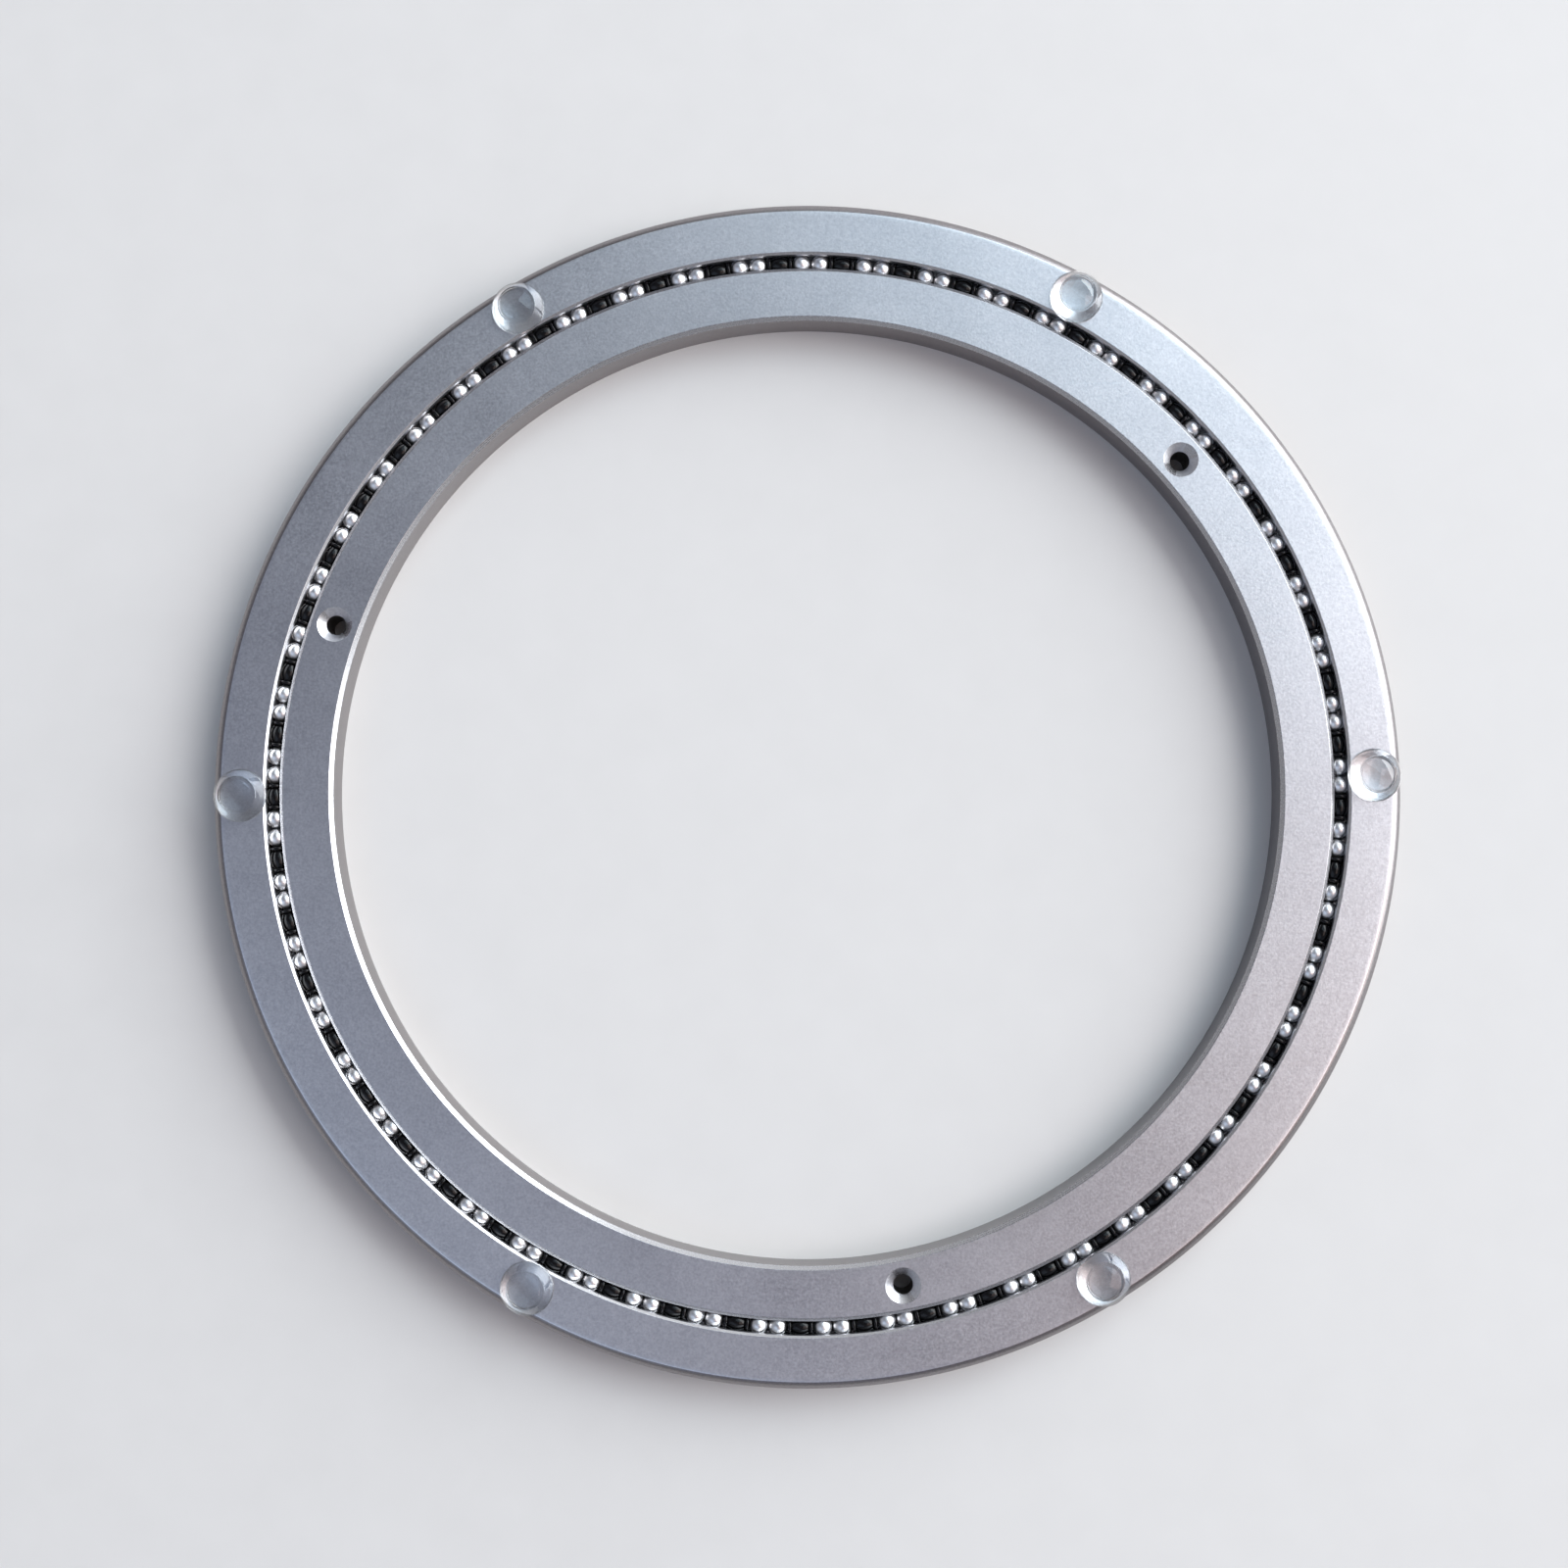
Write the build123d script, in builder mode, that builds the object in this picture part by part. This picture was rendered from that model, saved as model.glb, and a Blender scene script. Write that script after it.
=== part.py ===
from build123d import *
from math import pi, sqrt, tan, radians
import os

# Lazy susan bearing: two flat aluminium rings that turn on a train of ball pairs in a V race.
# It lies on its board side with the feet up. The axis is Z, and the board seats at Z 0.
# Sizes are in millimetres, angles in degrees from X.

# Rings
outer_d = 300.0
outer_ring_w = 13.1
inner_ring_w = 13.6
ring_h = 11.0
board_step = 1.0  # the inner ring stands this far proud of the outer one on the board side
edge_chamfer = 1.0  # rim of the outer ring and bore of the inner ring, on the feet side
slot_chamfer = 0.55  # both sides of the slot, on the feet side
board_chamfer = 0.5  # every edge on the board side

# Ball train
ball_d = 4.7625  # 3/16 inch
lip = 0.73  # how far each ring reaches in over the widest part of a ball
race_gap = 0.2  # running gap between a ball and a flank of the race
ball_depth = 2.9  # from the feet side of the inner ring to the middle of a ball
pair_count = 53
ball_gap = 0.12  # gap from each ball to the next piece of the train
spacer_slack = 0.3  # a spacer is this much thinner than a ball
train_start = 4.5  # angle of the first spacer
group_count = 8  # the train is kept as this many groups

# Loading plug, which closes the radial hole that the balls go in through
load_clear = 0.3  # room around a ball in the hole
plug_fit = 0.05  # gap around the plug
plug_angle = 141.0
hex_across = 2.5
hex_depth = 2.0

# Screw holes in the inner ring
screw_count = 3
screw_start = 41.0
screw_inset = 6.6  # from the slot side of the ring to the screw circle
screw_d = 5.0
screw_head_d = 8.8
screw_head_angle = 90.0

# Feet on the outer ring
foot_count = 6
foot_start = 1.0
foot_d = 13.4
foot_inset = 0.075  # from the rim to the edge of a foot
foot_h = 4.0
foot_draft = 22.0
foot_round = 0.5

# Radii from the axis, from the rim inwards
outer_r = outer_d / 2
slot_w = ball_d - 2 * lip
slot_outer_r = outer_r - outer_ring_w
track_r = slot_outer_r - slot_w / 2
slot_inner_r = slot_outer_r - slot_w
bore_r = slot_inner_r - inner_ring_w
screw_r = slot_inner_r - screw_inset
foot_r = outer_r - foot_inset - foot_d / 2

# Heights
foot_seat_z = board_step + ring_h
ball_z = ring_h - ball_depth

# Steps along the train
race_w = ball_d + 2 * race_gap
pitch = 360 / pair_count
half_pair = (ball_d + ball_gap) / 2 / track_r * 180 / pi
spacer_len = 2 * pi * track_r / pair_count - 2 * ball_d - 3 * ball_gap

os.makedirs("parts", exist_ok=True)


def ring_section(wall_r, far_r, low_z):
    """Section of a ring between its slot wall and its far wall, with the V race cut in it."""
    with BuildSketch(Plane.XZ) as section:
        with Locations(((wall_r + far_r) / 2, low_z + ring_h / 2)):
            Rectangle(abs(far_r - wall_r), ring_h)
        chamfer(section.vertices().group_by(Axis.Y)[0], length=board_chamfer)
        for edge_r, size in ((wall_r, slot_chamfer), (far_r, edge_chamfer)):
            feet_side = section.vertices().group_by(Axis.Y)[-1]
            chamfer(feet_side.sort_by(lambda corner: abs(corner.X - edge_r))[0], length=size)
        with Locations((track_r, ball_z)):
            Rectangle(race_w, race_w, rotation=45, mode=Mode.SUBTRACT)
    return section.sketch


# Outer ring and the plug in its loading hole
plug_out = Vector(1, 0, 0).rotate(Axis.Z, plug_angle)
plug_plane = Plane((0, 0, ball_z), x_dir=(0, 0, 1), z_dir=plug_out)
hole_r = ball_d / 2 + load_clear

with BuildPart() as outer_blank:
    add(ring_section(slot_outer_r, outer_r, board_step))
    revolve(axis=Axis.Z)

with BuildPart() as outer_ring:
    add(outer_blank.part)
    with BuildSketch(plug_plane):
        Circle(hole_r)
    extrude(amount=outer_d, mode=Mode.SUBTRACT)
outer_ring.part.label = "outer_ring"
export_step(outer_ring.part, "parts/outer_ring.step")

with BuildPart() as loading_plug:
    add(outer_blank.part)
    with BuildSketch(plug_plane):
        Circle(hole_r - plug_fit)
    extrude(amount=outer_d, mode=Mode.INTERSECT)
    with BuildSketch(plug_plane.offset(outer_r - hex_depth)):
        RegularPolygon(hex_across / 2, 6, major_radius=False)
    extrude(amount=outer_d, mode=Mode.SUBTRACT)
loading_plug.part.label = "loading_plug"
export_step(loading_plug.part, "parts/loading_plug.step")

# Inner ring, countersunk from the feet side for screws up into the board
with BuildPart() as inner_ring:
    add(ring_section(slot_inner_r, bore_r, 0))
    revolve(axis=Axis.Z)
    with Locations(Plane.XY.offset(ring_h)):
        with PolarLocations(screw_r, screw_count, screw_start):
            CounterSinkHole(screw_d / 2, screw_head_d / 2, counter_sink_angle=screw_head_angle)
inner_ring.part.label = "inner_ring"
export_step(inner_ring.part, "parts/inner_ring.step")

# One ball, kept to flats that all touch its true sphere, and one spacer of the same section
with BuildPart() as ball:
    Box(ball_d, ball_d, ball_d)
    chamfer(ball.edges(), length=ball_d * (1 - 1 / sqrt(2)))

with BuildPart() as spacer:
    with BuildSketch(Plane.XZ):
        RegularPolygon((ball_d - spacer_slack) / 2, 8, major_radius=False, rotation=22.5)
    extrude(amount=spacer_len / 2, both=True)

# The train, in groups that follow each other round the race
for group in range(group_count):
    first = round(group * pair_count / group_count)
    count = round((group + 1) * pair_count / group_count) - first
    spacer_angle = train_start + first * pitch
    pair_angle = spacer_angle + pitch / 2

    with BuildPart(Plane.XY.offset(ball_z)) as balls:
        for side in (-half_pair, half_pair):
            with PolarLocations(track_r, count, pair_angle + side, count * pitch):
                add(ball.part)
    balls.part.label = f"balls_{group + 1}"
    export_step(balls.part, f"parts/{balls.part.label}.step")

    with BuildPart(Plane.XY.offset(ball_z)) as spacers:
        with PolarLocations(track_r, count, spacer_angle, count * pitch):
            add(spacer.part)
    spacers.part.label = f"spacers_{group + 1}"
    export_step(spacers.part, f"parts/{spacers.part.label}.step")

# Soft feet, stuck on the outer ring's face just inside its rim
foot_top_r = foot_d / 2 - foot_h * tan(radians(foot_draft))
with BuildPart(Plane.XY.offset(foot_seat_z)) as feet:
    with PolarLocations(foot_r, foot_count, foot_start):
        Cone(foot_d / 2, foot_top_r, foot_h, align=(Align.CENTER, Align.CENTER, Align.MIN))
    chamfer(feet.faces().group_by(Axis.Z)[-1].edges(), length=foot_round)
feet.part.label = "feet"
export_step(feet.part, "parts/feet.step")
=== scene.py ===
from math import cos, hypot, pi, radians, sin, sqrt, tan

import bmesh
import bpy
from mathutils import Matrix, Vector


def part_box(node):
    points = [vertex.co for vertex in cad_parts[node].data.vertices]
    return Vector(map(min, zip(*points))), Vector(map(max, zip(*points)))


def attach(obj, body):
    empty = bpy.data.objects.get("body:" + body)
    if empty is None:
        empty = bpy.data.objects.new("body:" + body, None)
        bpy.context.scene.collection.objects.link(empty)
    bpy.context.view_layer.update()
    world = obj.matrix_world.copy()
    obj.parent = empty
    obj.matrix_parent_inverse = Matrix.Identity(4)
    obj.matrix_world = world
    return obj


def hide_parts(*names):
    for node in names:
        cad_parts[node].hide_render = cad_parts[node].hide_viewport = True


# Finish and light for a lazy susan bearing that lies with its feet up.
# Lengths are in metres in the part's own frame: the axis is Z, and the floor is at Z 0.

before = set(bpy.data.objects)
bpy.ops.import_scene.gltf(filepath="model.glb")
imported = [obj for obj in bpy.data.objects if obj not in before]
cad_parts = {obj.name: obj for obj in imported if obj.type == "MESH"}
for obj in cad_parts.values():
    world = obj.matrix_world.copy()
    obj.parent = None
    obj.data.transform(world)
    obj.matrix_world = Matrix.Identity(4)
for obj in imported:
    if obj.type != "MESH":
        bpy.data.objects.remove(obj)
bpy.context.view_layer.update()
scene = bpy.context.scene
MM = 0.001

# Sizes that the solids give
rim_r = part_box("outer_ring")[1].x
slot_inner_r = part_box("inner_ring")[1].x
base_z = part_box("outer_ring")[0].z
face_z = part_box("outer_ring")[1].z
top_face_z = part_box("inner_ring")[1].z
foot_top_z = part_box("feet")[1].z
ball_z = (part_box("balls_1")[0].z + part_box("balls_1")[1].z) / 2

# Sizes shared with the solids
ball_d = 4.7625 * MM
lip = 0.73 * MM  # how far each ring reaches in over the widest part of a ball
race_gap = 0.2 * MM
ball_gap = 0.12 * MM
spacer_slack = 0.3 * MM
inner_ring_w = 13.6 * MM
edge_chamfer = 1.0 * MM
slot_chamfer = 0.55 * MM
board_chamfer = 0.5 * MM
pair_count = 53
group_count = 8
train_start = radians(4.5)
load_clear = 0.3 * MM
load_angle = radians(141)
screw_count = 3
screw_start = radians(41)
screw_inset = 6.6 * MM
screw_r = 2.5 * MM
screw_head_r = 4.4 * MM
foot_count = 6
foot_start = radians(1)
foot_r = 6.7 * MM
foot_inset = 0.075 * MM

# Radii and steps worked out from them
slot_w = ball_d - 2 * lip
slot_outer_r = slot_inner_r + slot_w
track_r = slot_inner_r + slot_w / 2
bore_r = slot_inner_r - inner_ring_w
screw_circle_r = slot_inner_r - screw_inset
foot_circle_r = rim_r - foot_inset - foot_r
load_hole_r = ball_d / 2 + load_clear
race_reach = (ball_d / 2 + race_gap) * sqrt(2)
pitch = 2 * pi / pair_count
half_pair = (ball_d + ball_gap) / 2 / track_r
spacer_len = pitch * track_r - 2 * ball_d - 3 * ball_gap

# Finer than the solids: worn edges and smooth turning
edge_soft = 0.12 * MM
rim_soft = 2.0 * MM
rim_chamfer = 1.4 * MM
inner_slot_slope = (0.9 * MM, 0.6 * MM)  # across the face and down the wall
corner_steps = 4
ring_steps = 360
hole_steps = 48
spacer_steps = 28
foot_steps = 64


# Node tools

def new_node(tree, kind, inputs=None, **settings):
    """A node with its settings, its input values and the sockets that feed it."""
    made = tree.nodes.new(kind)
    for name, value in settings.items():
        setattr(made, name, value)
    for name, value in (inputs or {}).items():
        if isinstance(value, bpy.types.NodeSocket):
            tree.links.new(value, made.inputs[name])
        else:
            made.inputs[name].default_value = value
    return made


def calc(tree, operation, *values):
    """The result of one Math node."""
    inputs = dict(enumerate(values))
    return new_node(tree, "ShaderNodeMath", inputs, operation=operation).outputs[0]


def noise(tree, place, scale, detail, roughness=0.5, **settings):
    """Noise at a place, most of it between 0.3 and 0.7."""
    return new_node(tree, "ShaderNodeTexNoise", {
        "Vector": place, "Scale": scale, "Detail": detail, "Roughness": roughness,
    }, **settings).outputs["Fac"]


def spread(tree, value, low, high, start=0.3, end=0.7):
    """A value that runs from start to end, brought to run from low to high."""
    return new_node(tree, "ShaderNodeMapRange", {
        "Value": value, "From Min": start, "From Max": end, "To Min": low, "To Max": high,
    }).outputs["Result"]


def two_tone(tree, factor, one, other):
    """A colour between two by a factor. Each of them is plain or comes from a socket."""
    first, second = (tone if isinstance(tone, bpy.types.NodeSocket) else (*tone, 1)
                     for tone in (one, other))
    return new_node(tree, "ShaderNodeMix", {
        "Factor": factor, "A": first, "B": second,
    }, data_type="RGBA").outputs["Result"]


# Shader groups

def new_shader_group(name, inputs, outputs):
    """An empty group with number sockets, and what its inputs give."""
    tree = bpy.data.node_groups.new(name, "ShaderNodeTree")
    for socket in inputs:
        tree.interface.new_socket(socket, in_out="INPUT", socket_type="NodeSocketFloat")
    for socket in outputs:
        tree.interface.new_socket(socket, in_out="OUTPUT", socket_type="NodeSocketFloat")
    return tree, new_node(tree, "NodeGroupInput").outputs


def fine_grain():
    """Grain of a blasted, moulded or cast surface: its shade and its height."""
    grain_share = 0.75
    tree, given = new_shader_group(
        "fine_grain", ("Grain Scale", "Cloud Scale"), ("Shade", "Height"))
    place = new_node(tree, "ShaderNodeTexCoord").outputs["Object"]
    grain = noise(tree, place, given["Grain Scale"], detail=2.0, roughness=0.6)
    cloud = noise(tree, place, given["Cloud Scale"], detail=2.0)
    shade = calc(tree, "ADD", calc(tree, "MULTIPLY", grain, grain_share),
                 calc(tree, "MULTIPLY", cloud, 1 - grain_share))
    new_node(tree, "NodeGroupOutput", {"Shade": shade, "Height": grain})
    return tree


def handling_marks():
    """Sparse hairline scratches in two directions: 1 on a scratch and 0 beside it."""
    depth_scale = 40.0
    tree, given = new_shader_group("handling_marks", ("Amount",), ("Mark",))
    place = new_node(tree, "ShaderNodeTexCoord").outputs["Object"]
    lines = []
    for turn, along, across in ((0.5, 18.0, 1700.0), (2.1, 14.0, 1400.0)):
        stretched = new_node(tree, "ShaderNodeMapping", {
            "Vector": place, "Rotation": (0, 0, turn), "Scale": (along, across, depth_scale),
        }).outputs[0]
        streak = noise(tree, stretched, scale=1.0, detail=0.0)
        lines.append(spread(tree, streak, 0, 1, start=0.72, end=0.8))
    patch = noise(tree, place, scale=55.0, detail=1.0)
    here = spread(tree, patch, 0, 1, start=0.5, end=0.66)
    mark = calc(tree, "MULTIPLY", calc(tree, "MAXIMUM", *lines), here)
    new_node(tree, "NodeGroupOutput", {"Mark": calc(tree, "MULTIPLY", mark, given["Amount"])})
    return tree


grain_group = fine_grain()
marks_group = handling_marks()


def placed_group(tree, group, **values):
    """A shader group placed in a material, with that material's own values."""
    made = new_node(tree, "ShaderNodeGroup", node_tree=group)
    for name, value in values.items():
        made.inputs[name.replace("_", " ")].default_value = value
    return made.outputs


# Materials

aluminium_grain = {"Grain_Scale": 1700.0, "Cloud_Scale": 45.0}


def new_material(name, **sockets):
    """A Principled material with plain values on its sockets, ready for more nodes."""
    material = bpy.data.materials.new(name)
    material.use_nodes = True
    shader = material.node_tree.nodes["Principled BSDF"]
    for socket, value in sockets.items():
        shader.inputs[socket.replace("_", " ")].default_value = value
    return material, material.node_tree, shader


def finish_surface(tree, shader, color, roughness, height, strength, depth):
    """Colour, roughness and bump led into the shader."""
    tree.links.new(color, shader.inputs["Base Color"])
    tree.links.new(roughness, shader.inputs["Roughness"])
    raised = new_node(tree, "ShaderNodeBump", {
        "Height": height, "Strength": strength, "Distance": depth,
    })
    tree.links.new(raised.outputs["Normal"], shader.inputs["Normal"])


def grained_material(name, grain, dark, light, smooth, rough, strength, depth, **sockets):
    """A material whose colour, roughness and bump all follow its grain."""
    material, tree, shader = new_material(name, **sockets)
    grain = placed_group(tree, grain_group, **grain)
    color = two_tone(tree, spread(tree, grain["Shade"], 0, 1), dark, light)
    roughness = spread(tree, grain["Shade"], smooth, rough)
    finish_surface(tree, shader, color, roughness, grain["Height"], strength, depth)
    return material


def satin_aluminium():
    """Bead-blasted, clear anodised aluminium, with a few hairlines from handling."""
    material, tree, shader = new_material("satin_aluminium", Metallic=1.0)
    grain = placed_group(tree, grain_group, **aluminium_grain)
    mark = placed_group(tree, marks_group, Amount=0.5)["Mark"]
    lighter = calc(tree, "MULTIPLY", mark, 0.6)
    smoother = calc(tree, "MULTIPLY", mark, 0.1)
    tone = calc(tree, "ADD", spread(tree, grain["Shade"], 0, 1), lighter)
    color = two_tone(tree, tone, (0.64, 0.65, 0.685), (0.82, 0.83, 0.865))
    roughness = calc(tree, "SUBTRACT", spread(tree, grain["Shade"], 0.33, 0.4), smoother)
    finish_surface(tree, shader, color, roughness, grain["Height"], strength=0.6, depth=0.04 * MM)
    return material


def turned_aluminium():
    """The same metal where the lathe cut it last: smoother, with fine rings around the axis."""
    material, tree, shader = new_material("turned_aluminium", Metallic=1.0)
    grain = placed_group(tree, grain_group, **aluminium_grain)
    place = new_node(tree, "ShaderNodeSeparateXYZ", {
        "Vector": new_node(tree, "ShaderNodeTexCoord").outputs["Object"],
    }).outputs
    squares = [calc(tree, "MULTIPLY", place[axis], place[axis]) for axis in "XY"]
    from_axis = calc(tree, "SQRT", calc(tree, "ADD", *squares))
    section = new_node(tree, "ShaderNodeCombineXYZ", {"X": from_axis, "Y": place["Z"]}).outputs[0]
    rings = noise(tree, section, scale=5200.0, detail=1.0, noise_dimensions="2D")
    tone = calc(tree, "MULTIPLY", calc(tree, "ADD", grain["Shade"], rings), 0.5)
    color = two_tone(tree, spread(tree, tone, 0, 1), (0.56, 0.56, 0.58), (0.66, 0.66, 0.68))
    roughness = spread(tree, tone, 0.22, 0.32)
    finish_surface(tree, shader, color, roughness, rings, strength=0.25, depth=0.01 * MM)
    return material


def painted_shade_wall_aluminium():
    """The bore's wall and the rim with its rounded slope: the faces' metal, duller, with a darker
    colour that is painted shade.
    """
    return grained_material(
        "painted_shade_wall_aluminium", aluminium_grain,
        dark=(0.27, 0.25, 0.255), light=(0.36, 0.34, 0.345),
        smooth=0.3, rough=0.4, strength=0.4, depth=0.03 * MM, Metallic=1.0)


def drilled_aluminium():
    """Dull walls of the screw holes, coloured much darker than the faces."""
    return grained_material(
        "drilled_aluminium", {"Grain_Scale": 2200.0, "Cloud_Scale": 300.0},
        dark=(0.10, 0.095, 0.09), light=(0.2, 0.19, 0.18),
        smooth=0.4, rough=0.55, strength=0.4, depth=0.03 * MM, Metallic=1.0)


def bearing_steel():
    """Bright steel balls, with a film of grease that softens their shine."""
    return grained_material(
        "bearing_steel", {"Grain_Scale": 900.0, "Cloud_Scale": 240.0},
        dark=(0.9, 0.9, 0.91), light=(0.97, 0.97, 0.97),
        smooth=0.34, rough=0.42, strength=0.05, depth=0.01 * MM, Metallic=1.0)


def black_nylon():
    """Glossy black moulded plastic."""
    return grained_material(
        "black_nylon", {"Grain_Scale": 1500.0, "Cloud_Scale": 300.0},
        dark=(0.003, 0.003, 0.0035), light=(0.008, 0.008, 0.009),
        smooth=0.08, rough=0.18, strength=0.1, depth=0.02 * MM,
        IOR=1.5, Specular_IOR_Level=0.3)


def silicone(name, transmission, smooth, rough):
    """Soft silicone, clear or cloudy. Light that doesn't go straight through spreads inside it."""
    return grained_material(
        name, {"Grain_Scale": 700.0, "Cloud_Scale": 180.0},
        dark=(0.92, 0.94, 0.945), light=(0.98, 0.985, 0.985),
        smooth=smooth, rough=rough, strength=0.06, depth=0.04 * MM,
        IOR=1.41, Transmission_Weight=transmission,
        Coat_Weight=1.0, Coat_IOR=1.6, Coat_Roughness=0.03,
        Subsurface_Weight=1.0, Subsurface_Radius=(1.0, 1.0, 1.0), Subsurface_Scale=1 * MM)


def plug_steel():
    """Plain turned steel of the loading plug."""
    return grained_material(
        "plug_steel", {"Grain_Scale": 1800.0, "Cloud_Scale": 200.0},
        dark=(0.38, 0.38, 0.39), light=(0.52, 0.52, 0.53),
        smooth=0.28, rough=0.42, strength=0.2, depth=0.02 * MM, Metallic=1.0)


def pale_floor():
    """Matt, even floor."""
    return grained_material(
        "pale_floor", {"Grain_Scale": 60.0, "Cloud_Scale": 3.0},
        dark=(0.725, 0.715, 0.7), light=(0.745, 0.735, 0.72),
        smooth=0.65, rough=0.75, strength=0.05, depth=0.2 * MM)


# Mesh tools

def softened(outline, radii, steps, closed):
    """An outline with rounded corners, and a point outside each round to keep the flats flat."""
    count = len(outline)
    made = []
    for i, (corner, radius) in enumerate(zip(outline, radii)):
        corner = Vector(corner)
        if not closed and i in (0, count - 1):
            made.append(corner)
            continue
        hold = radius / 3
        back = (Vector(outline[i - 1]) - corner).normalized()
        ahead = (Vector(outline[(i + 1) % count]) - corner).normalized()
        half = back.angle(ahead) / 2
        start = corner + back * radius / tan(half)
        end = corner + ahead * radius / tan(half)
        middle = corner + (back + ahead).normalized() * radius / sin(half)
        made.append(start + back * hold)
        for k in range(steps + 1):
            spoke = (start - middle).lerp(end - middle, k / steps)
            made.append(middle + spoke.normalized() * radius)
        made.append(end + ahead * hold)
    return made


def finished_mesh(name, shape):
    """A smooth mesh with its doubles merged and its faces turned outwards."""
    bmesh.ops.remove_doubles(shape, verts=shape.verts, dist=1e-7)
    bmesh.ops.recalc_face_normals(shape, faces=shape.faces)
    for face in shape.faces:
        face.smooth = True
    mesh = bpy.data.meshes.new(name)
    shape.to_mesh(mesh)
    shape.free()
    return mesh


def turned_mesh(name, outline, steps, closed, place=Matrix()):
    """An outline of (radius, height) turned about Z. An open one starts and ends on the axis."""
    shape = bmesh.new()
    columns = []
    for i in range(steps):
        angle = 2 * pi * i / steps
        points = [Vector((r * cos(angle), r * sin(angle), z)) for r, z in outline]
        columns.append([shape.verts.new(place @ point) for point in points])
    count = len(outline)
    for i in range(steps):
        here, there = columns[i], columns[(i + 1) % steps]
        for k in range(count if closed else count - 1):
            n = (k + 1) % count
            corners = [here[k], there[k], there[n], here[n]]
            if not closed and k == 0:
                corners = [here[0], there[n], here[n]]
            elif not closed and k == count - 2:
                corners = [here[k], there[k], here[n]]
            shape.faces.new(corners)
    return finished_mesh(name, shape)


def new_object(name, data):
    """An object in the scene, around a mesh, a lamp or a camera."""
    made = bpy.data.objects.new(name, data)
    scene.collection.objects.link(made)
    return made


def as_plain_mesh(thing):
    """The object's evaluated mesh takes the place of its modifiers."""
    graph = bpy.context.evaluated_depsgraph_get()
    plain = bpy.data.meshes.new_from_object(thing.evaluated_get(graph))
    thing.modifiers.clear()
    thing.data = plain


def cut_away(thing, cutter):
    """The cutter's shape taken out of the piece, with edges left sharp where they are steep."""
    cut = thing.modifiers.new("cut", "BOOLEAN")
    cut.object = cutter
    cut.operation = "DIFFERENCE"
    cut.solver = "EXACT"
    as_plain_mesh(thing)
    thing.data.set_sharp_from_angle(angle=radians(28))
    bpy.data.objects.remove(cutter)


def round_pattern():
    """Geometry Nodes: copies of a piece around the axis, each free to roll about the track."""
    tree = bpy.data.node_groups.new("round_pattern", "GeometryNodeTree")
    tree.interface.new_socket("Geometry", in_out="OUTPUT", socket_type="NodeSocketGeometry")
    for name, kind in (
        ("Piece", "Object"), ("Count", "Int"), ("Radius", "Float"), ("Height", "Float"),
        ("Start Angle", "Float"), ("Loose Roll", "Float"), ("Seed", "Int"), ("Finish", "Material"),
    ):
        tree.interface.new_socket(name, in_out="INPUT", socket_type="NodeSocket" + kind)
    given = new_node(tree, "NodeGroupInput").outputs
    index = new_node(tree, "GeometryNodeInputIndex").outputs["Index"]
    step = calc(tree, "DIVIDE", 2 * pi, given["Count"])
    turn = calc(tree, "MULTIPLY_ADD", index, step, given["Start Angle"])
    across = calc(tree, "MULTIPLY", calc(tree, "COSINE", turn), given["Radius"])
    along = calc(tree, "MULTIPLY", calc(tree, "SINE", turn), given["Radius"])
    place = new_node(tree, "ShaderNodeCombineXYZ", {
        "X": across, "Y": along, "Z": given["Height"],
    })
    points = new_node(tree, "GeometryNodePoints", {
        "Count": given["Count"], "Position": place.outputs[0],
    })
    chance = new_node(tree, "FunctionNodeRandomValue", {
        "Seed": given["Seed"],
    }, data_type="FLOAT").outputs[1]
    roll = calc(tree, "MULTIPLY", calc(tree, "SUBTRACT", chance, 0.5), given["Loose Roll"])
    angles = new_node(tree, "ShaderNodeCombineXYZ", {"Y": roll, "Z": turn})
    facing = new_node(tree, "FunctionNodeEulerToRotation", {"Euler": angles.outputs[0]})
    piece = new_node(tree, "GeometryNodeObjectInfo", {
        "Object": given["Piece"], "As Instance": True,
    })
    copies = new_node(tree, "GeometryNodeInstanceOnPoints", {
        "Points": points.outputs[0], "Instance": piece.outputs["Geometry"],
        "Rotation": facing.outputs[0],
    })
    whole = new_node(tree, "GeometryNodeRealizeInstances", {"Geometry": copies.outputs[0]})
    dressed = new_node(tree, "GeometryNodeSetMaterial", {
        "Geometry": whole.outputs[0], "Material": given["Finish"],
    })
    new_node(tree, "NodeGroupOutput", {"Geometry": dressed.outputs[0]})
    return tree


pattern_tree = round_pattern()
roll_seed = 7


def around_axis(name, piece_mesh, finish, count, radius, height, start, loose_roll=0.0):
    """Copies of a piece around the axis, as one plain mesh."""
    piece = new_object(name + "_piece", piece_mesh)
    holder = new_object(name, bpy.data.meshes.new(name))
    modifier = holder.modifiers.new("pattern", "NODES")
    modifier.node_group = pattern_tree
    values = {
        "Piece": piece, "Count": count, "Radius": radius, "Height": height,
        "Start Angle": start, "Loose Roll": loose_roll, "Seed": roll_seed, "Finish": finish,
    }
    for socket in pattern_tree.interface.items_tree:
        if socket.in_out == "INPUT":
            modifier[socket.identifier] = values[socket.name]
    as_plain_mesh(holder)
    bpy.data.objects.remove(piece)
    return holder


# Rings

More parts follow.
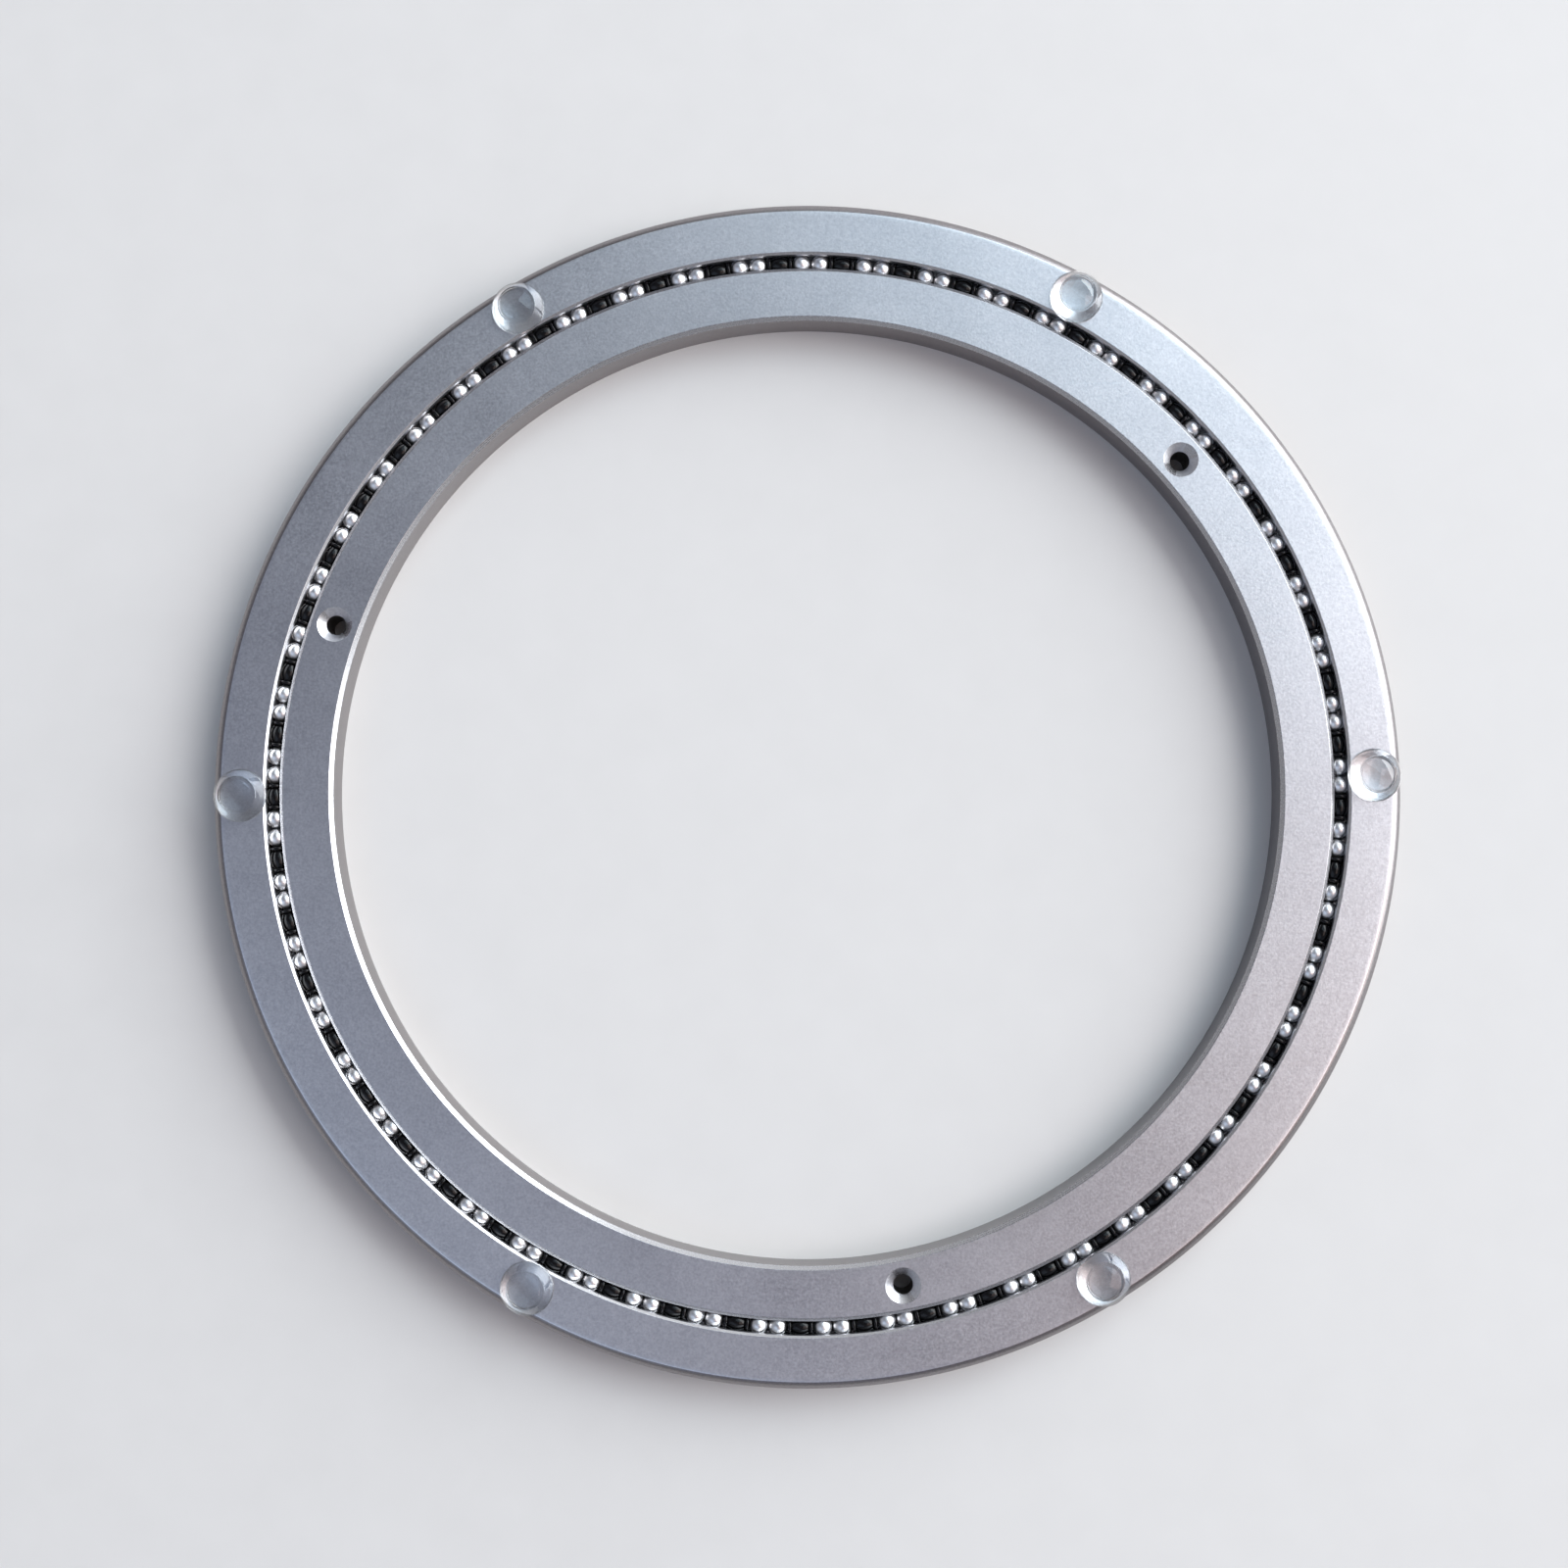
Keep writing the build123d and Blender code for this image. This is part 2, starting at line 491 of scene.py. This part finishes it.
def ring_mesh(name, wall_r, far_r, low_z, high_z, wall_slope, far_chamfer, far_soft):
    """A ring between its slot wall and its far wall, with its chamfers and V race."""
    out = 1 if far_r > wall_r else -1
    mouth = race_reach - slot_w / 2
    outline = [
        (wall_r + out * wall_slope[0], high_z),
        (far_r - out * far_chamfer, high_z),
        (far_r, high_z - far_chamfer),
        (far_r, low_z + board_chamfer),
        (far_r - out * board_chamfer, low_z),
        (wall_r + out * board_chamfer, low_z),
        (wall_r, low_z + board_chamfer),
        (wall_r, ball_z - mouth),
        (track_r + out * race_reach, ball_z),
        (wall_r, ball_z + mouth),
        (wall_r, high_z - wall_slope[1]),
    ]
    radii = [edge_soft] * len(outline)
    radii[1] = far_soft
    section = softened(outline, radii, corner_steps, closed=True)
    return turned_mesh(name, section, ring_steps, closed=True)


def loading_cutter():
    """The radial hole that the balls go in through."""
    reach_in, reach_out = 40 * MM, 10 * MM  # from the rim, well past the ring on both sides
    lean = Matrix.Rotation(load_angle, 4, "Z") @ Matrix.Rotation(pi / 2, 4, "Y")
    place = Matrix.Translation((0, 0, ball_z)) @ lean
    inside, outside = rim_r - reach_in, rim_r + reach_out
    outline = [(0, inside), (load_hole_r, inside), (load_hole_r, outside), (0, outside)]
    return turned_mesh("loading_cutter", outline, hole_steps, closed=False, place=place)


def screw_cutter():
    """A screw hole and its countersink, with a slight break at the edge."""
    break_w = edge_soft
    over = 2 * MM  # past the ring on both sides
    outline = [
        (0, over),
        (screw_head_r + break_w + over, over),
        (screw_head_r + break_w, break_w / 4),
        (screw_head_r, -break_w / 2),
        (screw_r, -(screw_head_r - screw_r) - break_w / 2),
        (screw_r, -top_face_z - over),
        (0, -top_face_z - over),
    ]
    return turned_mesh("screw_cutter", outline, hole_steps, closed=False)


ring_finishes = (satin_aluminium(), turned_aluminium(), painted_shade_wall_aluminium(), drilled_aluminium())
SATIN, TURNED, PAINTED_SHADE_WALL, DRILLED = range(len(ring_finishes))


def dress_ring(mesh):
    """Faces, slot walls and countersinks are blasted, and rim and bore are plain, with a darker
    colour that is painted shade.

    The screw holes are drilled, and the slopes, which are left, are turned.
    """
    # How much of a face's normal points up or down
    flat, rim_slope, steep, hole_wall = 0.98, 0.97, 0.5, 0.3
    screw_reach = 3 * MM
    rim_zone_r = rim_r - 2 * rim_chamfer
    bore_zone_r = bore_r + 0.1 * MM
    slot_reach = slot_w / 2 + 0.05 * MM
    mesh.materials.clear()
    for material in ring_finishes:
        mesh.materials.append(material)
    for face in mesh.polygons:
        r = hypot(face.center.x, face.center.y)
        upward = abs(face.normal.z)
        near_screw = abs(r - screw_circle_r) < screw_reach
        on_rim = r > rim_zone_r and upward < rim_slope
        on_bore = r < bore_zone_r and upward < steep
        on_slot = abs(r - track_r) < slot_reach and upward < steep
        if upward > flat or on_slot or near_screw and upward > hole_wall:
            face.material_index = SATIN
        # Rim slope and bore wall take the darker colour, painted shade
        elif on_rim or on_bore:
            face.material_index = PAINTED_SHADE_WALL
        elif near_screw:
            face.material_index = DRILLED
        else:
            face.material_index = TURNED


outer_ring = new_object("outer_ring_turned", ring_mesh(
    "outer_ring_turned", slot_outer_r, rim_r, base_z, face_z,
    wall_slope=(slot_chamfer, slot_chamfer), far_chamfer=rim_chamfer, far_soft=rim_soft))
cut_away(outer_ring, new_object("loading_cutter", loading_cutter()))
dress_ring(outer_ring.data)

inner_ring = new_object("inner_ring_turned", ring_mesh(
    "inner_ring_turned", slot_inner_r, bore_r, 0, top_face_z,
    wall_slope=inner_slot_slope, far_chamfer=edge_chamfer, far_soft=edge_soft))
cut_away(inner_ring, around_axis(
    "screw_cutters", screw_cutter(), ring_finishes[TURNED],
    screw_count, screw_circle_r, top_face_z, screw_start))
dress_ring(inner_ring.data)


# Ball train

def ball_pair_mesh():
    """Two balls on the track, from the middle of the pair."""
    shape = bmesh.new()
    for side in (-half_pair, half_pair):
        place = Matrix.Translation((track_r * (cos(side) - 1), track_r * sin(side), 0))
        bmesh.ops.create_icosphere(shape, subdivisions=3, radius=ball_d / 2, matrix=place)
    return finished_mesh("ball_pair", shape)


def spacer_mesh():
    """A plastic spacer along the track: a barrel between two collars."""
    radius = (ball_d - spacer_slack) / 2
    half = spacer_len / 2
    collar_w = 0.8 * MM
    collar_rise = 0.1 * MM  # over the crown of the barrel
    collar_flank = 0.1 * MM
    collar_soft = 0.25 * MM
    collar_steps = 3
    crown_r = 4.2 * MM  # bulge of the barrel along its length
    crown_steps = 5
    barrel_half = half - collar_w
    crown = []
    for k in range(-crown_steps, crown_steps + 1):
        y = barrel_half * k / crown_steps
        crown.append((radius - collar_rise - crown_r + sqrt(crown_r ** 2 - y ** 2), y))
    collar = [crown[-1], (radius, barrel_half + collar_flank), (radius, half), (0, half)]
    end = softened(collar, [collar_soft] * len(collar), collar_steps, closed=False)[1:]
    start = [(r, -y) for r, y in reversed(end)]
    lengthwise = Matrix.Rotation(pi / 2, 4, "X")
    return turned_mesh("spacer", start + crown + end, spacer_steps, closed=False, place=lengthwise)


balls = around_axis(
    "steel_balls", ball_pair_mesh(), bearing_steel(),
    pair_count, track_r, ball_z, train_start + pitch / 2)
spacers = around_axis(
    "ball_spacers", spacer_mesh(), black_nylon(),
    pair_count, track_r, ball_z, train_start, loose_roll=radians(16))
spacers.data.set_sharp_from_angle(angle=radians(50))


# Feet

def foot_mesh():
    """A tapered bumper with a domed top inside a fine raised lip."""
    height = foot_top_z - face_z
    glue = 0.03 * MM  # a thin film holds it off the metal
    dome_r = 15 * MM
    dome_edge = 4.3 * MM
    dome_steps = 8
    dome = []
    for k in range(dome_steps + 1):
        r = dome_edge * k / dome_steps
        dome.append((r, height - dome_r + sqrt(dome_r ** 2 - r ** 2)))
    edge_z = dome[-1][1]
    lip_inner = (dome_edge + 0.15 * MM, edge_z + 0.18 * MM)
    lip_outer = (dome_edge + 0.5 * MM, edge_z + 0.12 * MM)
    flank_top = (dome_edge + 0.65 * MM, edge_z - 0.2 * MM)
    flank_low = (foot_r - 0.25 * MM, 0.75 * MM)
    skirt_top = (foot_r, 0.5 * MM)
    corners = [
        dome[-1], lip_inner, lip_outer, flank_top, flank_low, skirt_top, (foot_r, glue), (0, glue),
    ]
    rounds = [0, 0.1 * MM, 0.12 * MM, 0.1 * MM, 0.15 * MM, 0.15 * MM, 0.1 * MM, 0]
    side = softened(corners, rounds, corner_steps, closed=False)
    return turned_mesh("foot", dome + side[1:], foot_steps, closed=False)


flank_low_up, flank_high_up = 0.05, 0.8  # how much of a flank's normal points up
feet = around_axis(
    "silicone_feet", foot_mesh(), silicone("clear_silicone", 1.0, smooth=0.02, rough=0.07),
    foot_count, foot_circle_r, face_z, foot_start)
feet.data.materials.append(silicone("cloudy_silicone", 0.2, smooth=0.25, rough=0.35))
for face in feet.data.polygons:
    if flank_low_up < face.normal.z < flank_high_up:
        face.material_index = 1

# What each piece moves with and stands for
train_groups = range(1, group_count + 1)
for piece, body, slot, nodes in (
    (outer_ring, "base", "aluminium", ["outer_ring"]),
    (inner_ring, "top", "aluminium", ["inner_ring"]),
    (balls, "ball_train", "ball_steel", [f"balls_{i}" for i in train_groups]),
    (spacers, "ball_train", "spacer_plastic", [f"spacers_{i}" for i in train_groups]),
    (feet, "base", "silicone", ["feet"]),
):
    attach(piece, body)
    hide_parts(*nodes)

# The loading plug keeps its own solid
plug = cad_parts["loading_plug"].data
plug.materials.clear()
plug.materials.append(plug_steel())

# Floor, wide enough to reach the horizon in low views
floor_half = 3.6
floor_shape = bmesh.new()
bmesh.ops.create_grid(floor_shape, x_segments=1, y_segments=1, size=floor_half)
floor = new_object("floor", finished_mesh("floor", floor_shape))
floor.data.materials.append(pale_floor())


# Light

lamp_distance = 4.8  # far off, so that the floor is as pale at the back as near the part


def soft_box(name, azimuth, from_zenith, width, height, radiance, color):
    """A soft panel that faces the part, placed by the direction in degrees that it shines from."""
    lamp = bpy.data.lights.new(name, "AREA")
    lamp.shape = "RECTANGLE"
    lamp.size = width
    lamp.size_y = height
    lamp.energy = radiance * pi * width * height
    lamp.color = color
    made = new_object(name, lamp)
    turn, lean = radians(azimuth), radians(from_zenith)
    direction = Vector((sin(lean) * cos(turn), sin(lean) * sin(turn), cos(lean)))
    made.location = direction * lamp_distance
    made.rotation_euler = (-direction).to_track_quat("-Z", "Y").to_euler()


soft_box("window", azimuth=28, from_zenith=61, width=6.0, height=4.2,
         radiance=4.4, color=(0.95, 0.985, 1.0))
soft_box("upper_window", azimuth=52, from_zenith=36, width=3.6, height=3.2,
         radiance=1.25, color=(0.66, 0.86, 1.0))
soft_box("warm_wall", azimuth=-10, from_zenith=39, width=3.2, height=3.2,
         radiance=1.38, color=(1.0, 0.79, 0.74))
soft_box("cool_wall", azimuth=226, from_zenith=38, width=3.8, height=3.0,
         radiance=0.55, color=(0.66, 0.81, 1.0))


def side_share(tree, direction, azimuth, start, end):
    """How far a direction leans to one side, eased to run from 0 at start to 1 at end."""
    side = (cos(radians(azimuth)), sin(radians(azimuth)), 0)
    lean = new_node(tree, "ShaderNodeVectorMath", {
        0: direction, 1: side,
    }, operation="DOT_PRODUCT").outputs["Value"]
    return new_node(tree, "ShaderNodeMapRange", {
        "Value": lean, "From Min": start, "From Max": end,
    }, interpolation_type="SMOOTHSTEP").outputs["Result"]


def room_light():
    """A room that is dim overhead, warm to the lower right and blue to the lower left.

    Low down it is paler all round, and bright behind the window.
    """
    world = bpy.data.worlds.new("room_light")
    world.use_nodes = True
    tree = world.node_tree
    direction = new_node(tree, "ShaderNodeTexCoord").outputs["Generated"]
    warm_side = side_share(tree, direction, azimuth=-45, start=-0.3, end=0.45)
    blue_side = side_share(tree, direction, azimuth=225, start=0.0, end=0.45)
    window_side = side_share(tree, direction, azimuth=35, start=0.1, end=0.85)
    overhead = two_tone(tree, warm_side, (0.09, 0.091, 0.112), (0.172, 0.132, 0.127))
    overhead = two_tone(tree, blue_side, overhead, (0.2, 0.22, 0.3))
    low_room = two_tone(tree, window_side, (0.33, 0.33, 0.345), (1.0, 1.02, 1.05))
    height = new_node(tree, "ShaderNodeSeparateXYZ", {"Vector": direction}).outputs["Z"]
    color = two_tone(tree, spread(tree, height, 0, 1, start=0.3, end=0.75), low_room, overhead)
    tree.links.new(color, tree.nodes["Background"].inputs["Color"])
    return world


scene.world = room_light()

# Camera, aimed so that the ring sits in the frame as it does in the photograph
camera_up = 500 * MM  # over the outer ring's face
camera_back = 32.3 * MM
aim_x, aim_y = -5.46 * MM, 0.36 * MM
place = Vector((0, -camera_back, face_z + camera_up))
aim = Vector((aim_x, aim_y, face_z))
forward = (aim - place).normalized()
right = forward.cross(Vector((0, 1, 0))).normalized()
upward = right.cross(forward)
lens = bpy.data.cameras.new("camera")
lens.sensor_width = 36.0
lens.lens = 45.56
lens.clip_start = 0.01
camera = new_object("camera", lens)
facing = Matrix((right, upward, -forward)).transposed().to_4x4()
camera.matrix_world = Matrix.Translation(place) @ facing
scene.camera = camera

scene.view_settings.view_transform = "Standard"
